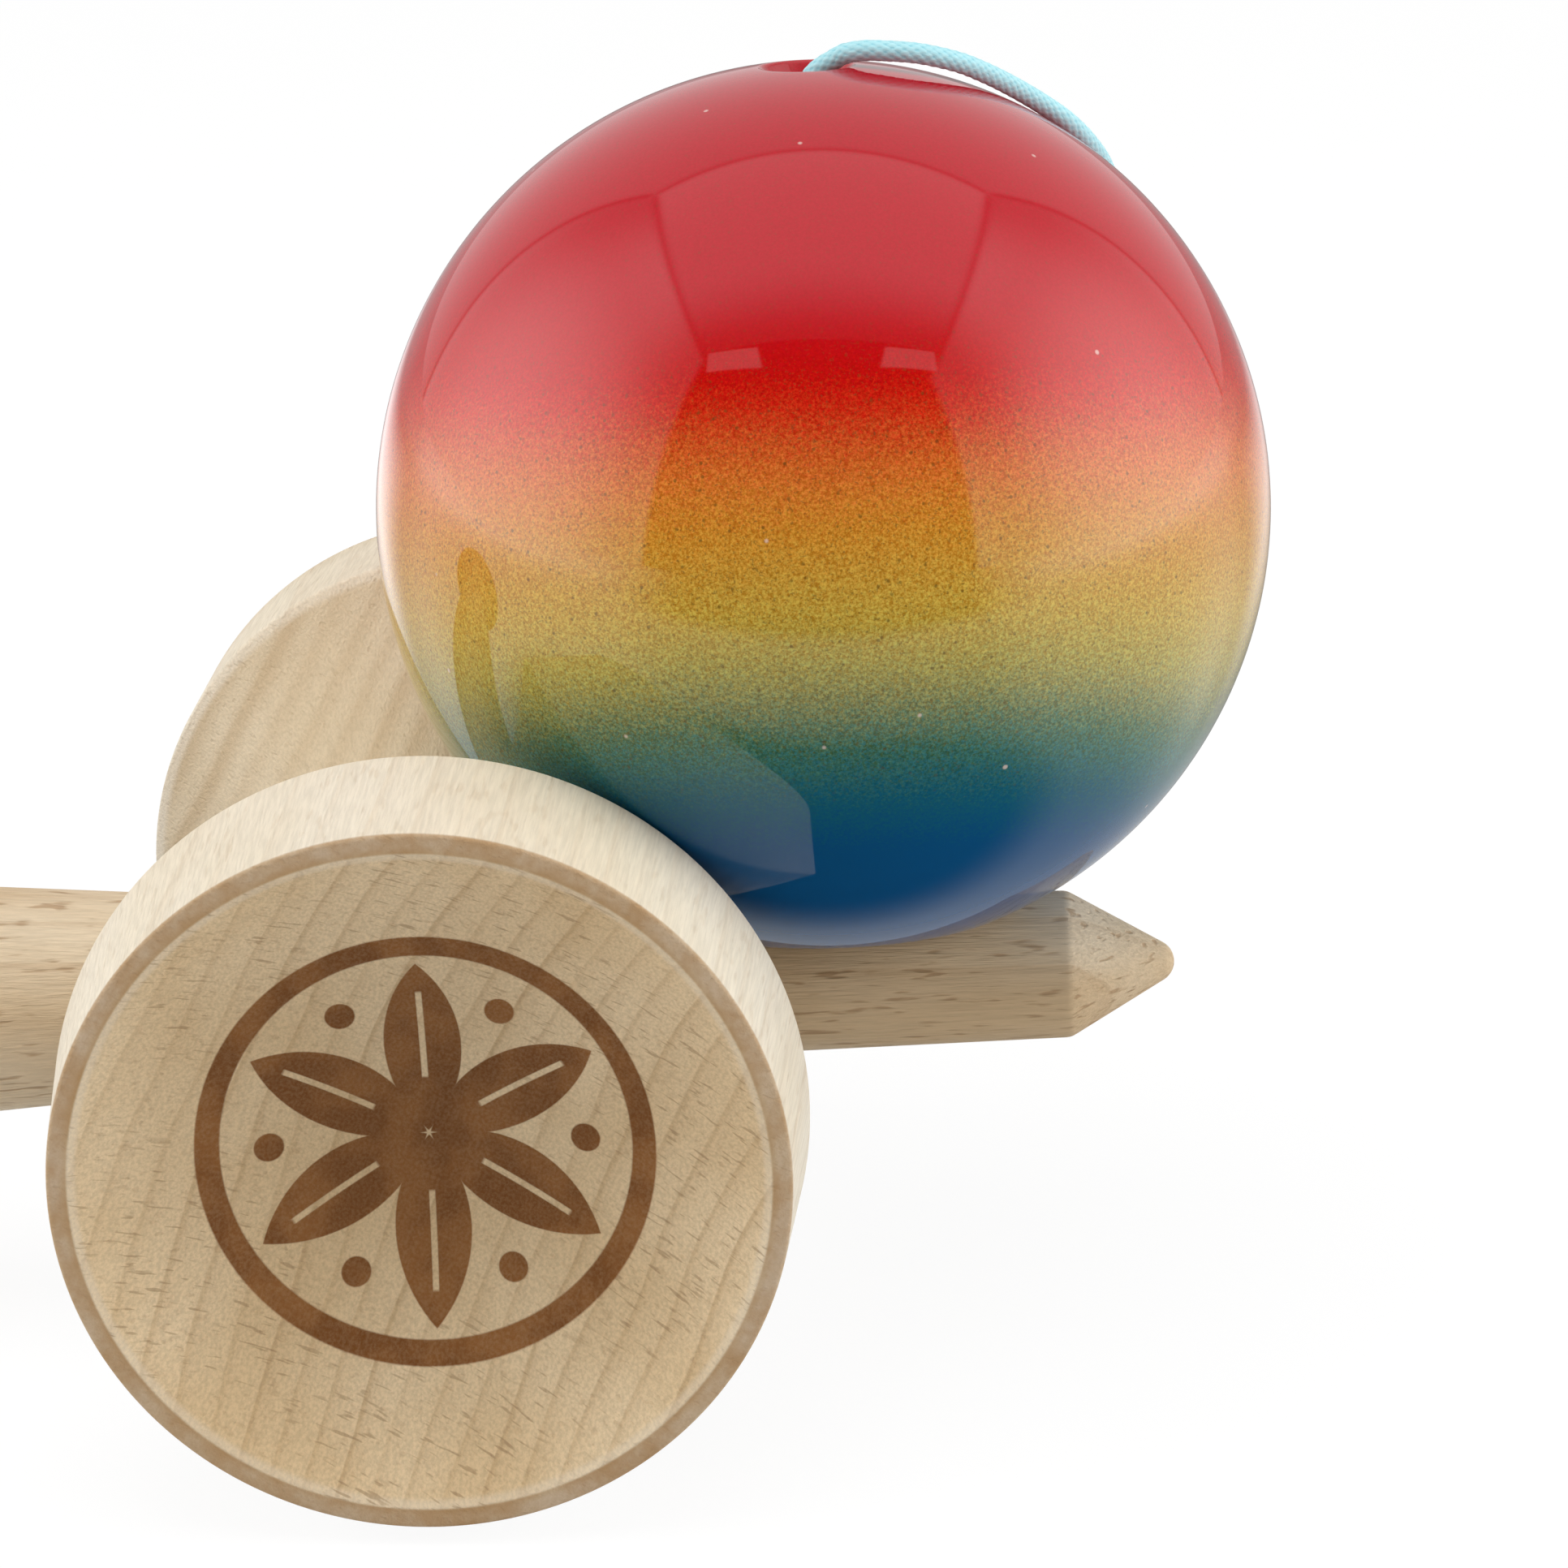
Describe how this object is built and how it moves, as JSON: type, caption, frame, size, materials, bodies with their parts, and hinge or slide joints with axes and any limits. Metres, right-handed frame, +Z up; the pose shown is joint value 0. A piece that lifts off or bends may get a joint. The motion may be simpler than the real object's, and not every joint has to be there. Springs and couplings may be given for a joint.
{
  "type": "cup and ball toy",
  "caption": "Wooden kendama: a turned spike handle with a base cup, a cross piece with two cups, and a lacquered ball with a hole on a string.",
  "frame": {"origin": "on the ground, under the middle of the outline of the ken, the cross cups and the ball", "axes": "+X along the ken towards the spike, +Y from the big cup to the small cup, +Z up"},
  "size_m": [0.1922, 0.0752, 0.0896],
  "materials": {
    "beech": "bare, sanded",
    "lacquered_wood": "high gloss lacquer, red to yellow to green to blue",
    "bead_wood": "satin",
    "string": "braided"
  },
  "bodies": {
    "ken": {"ken": "beech", "ken_knot": "string", "string_in_ken": "string"},
    "cups": {"cross_cups": "beech", "string_at_cups": "string", "string_coil": "string", "string_beside_cups": "string"},
    "tether": {"bead": "bead_wood", "bead_knot": "string", "string_over_ball": "string"},
    "ball": {"ball": "lacquered_wood"}
  },
  "joints": [
    {"name": "cups_slide", "type": "slide", "parent": "ken", "child": "cups", "axis": [0.9995, 0, 0.0308], "range_m": [0, 0.064]},
    {"name": "ball_lift", "type": "slide", "parent": "cups", "child": "tether", "axis": [-0.0308, 0.0263, 0.9992], "range_m": [0, 0.08]},
    {"name": "ball_spin", "type": "hinge", "parent": "tether", "child": "ball", "pos_m": [0.06607, 0.00087, 0.05802], "axis": [-0.0306, 0.1133, 0.9931], "continuous": true}
  ]
}
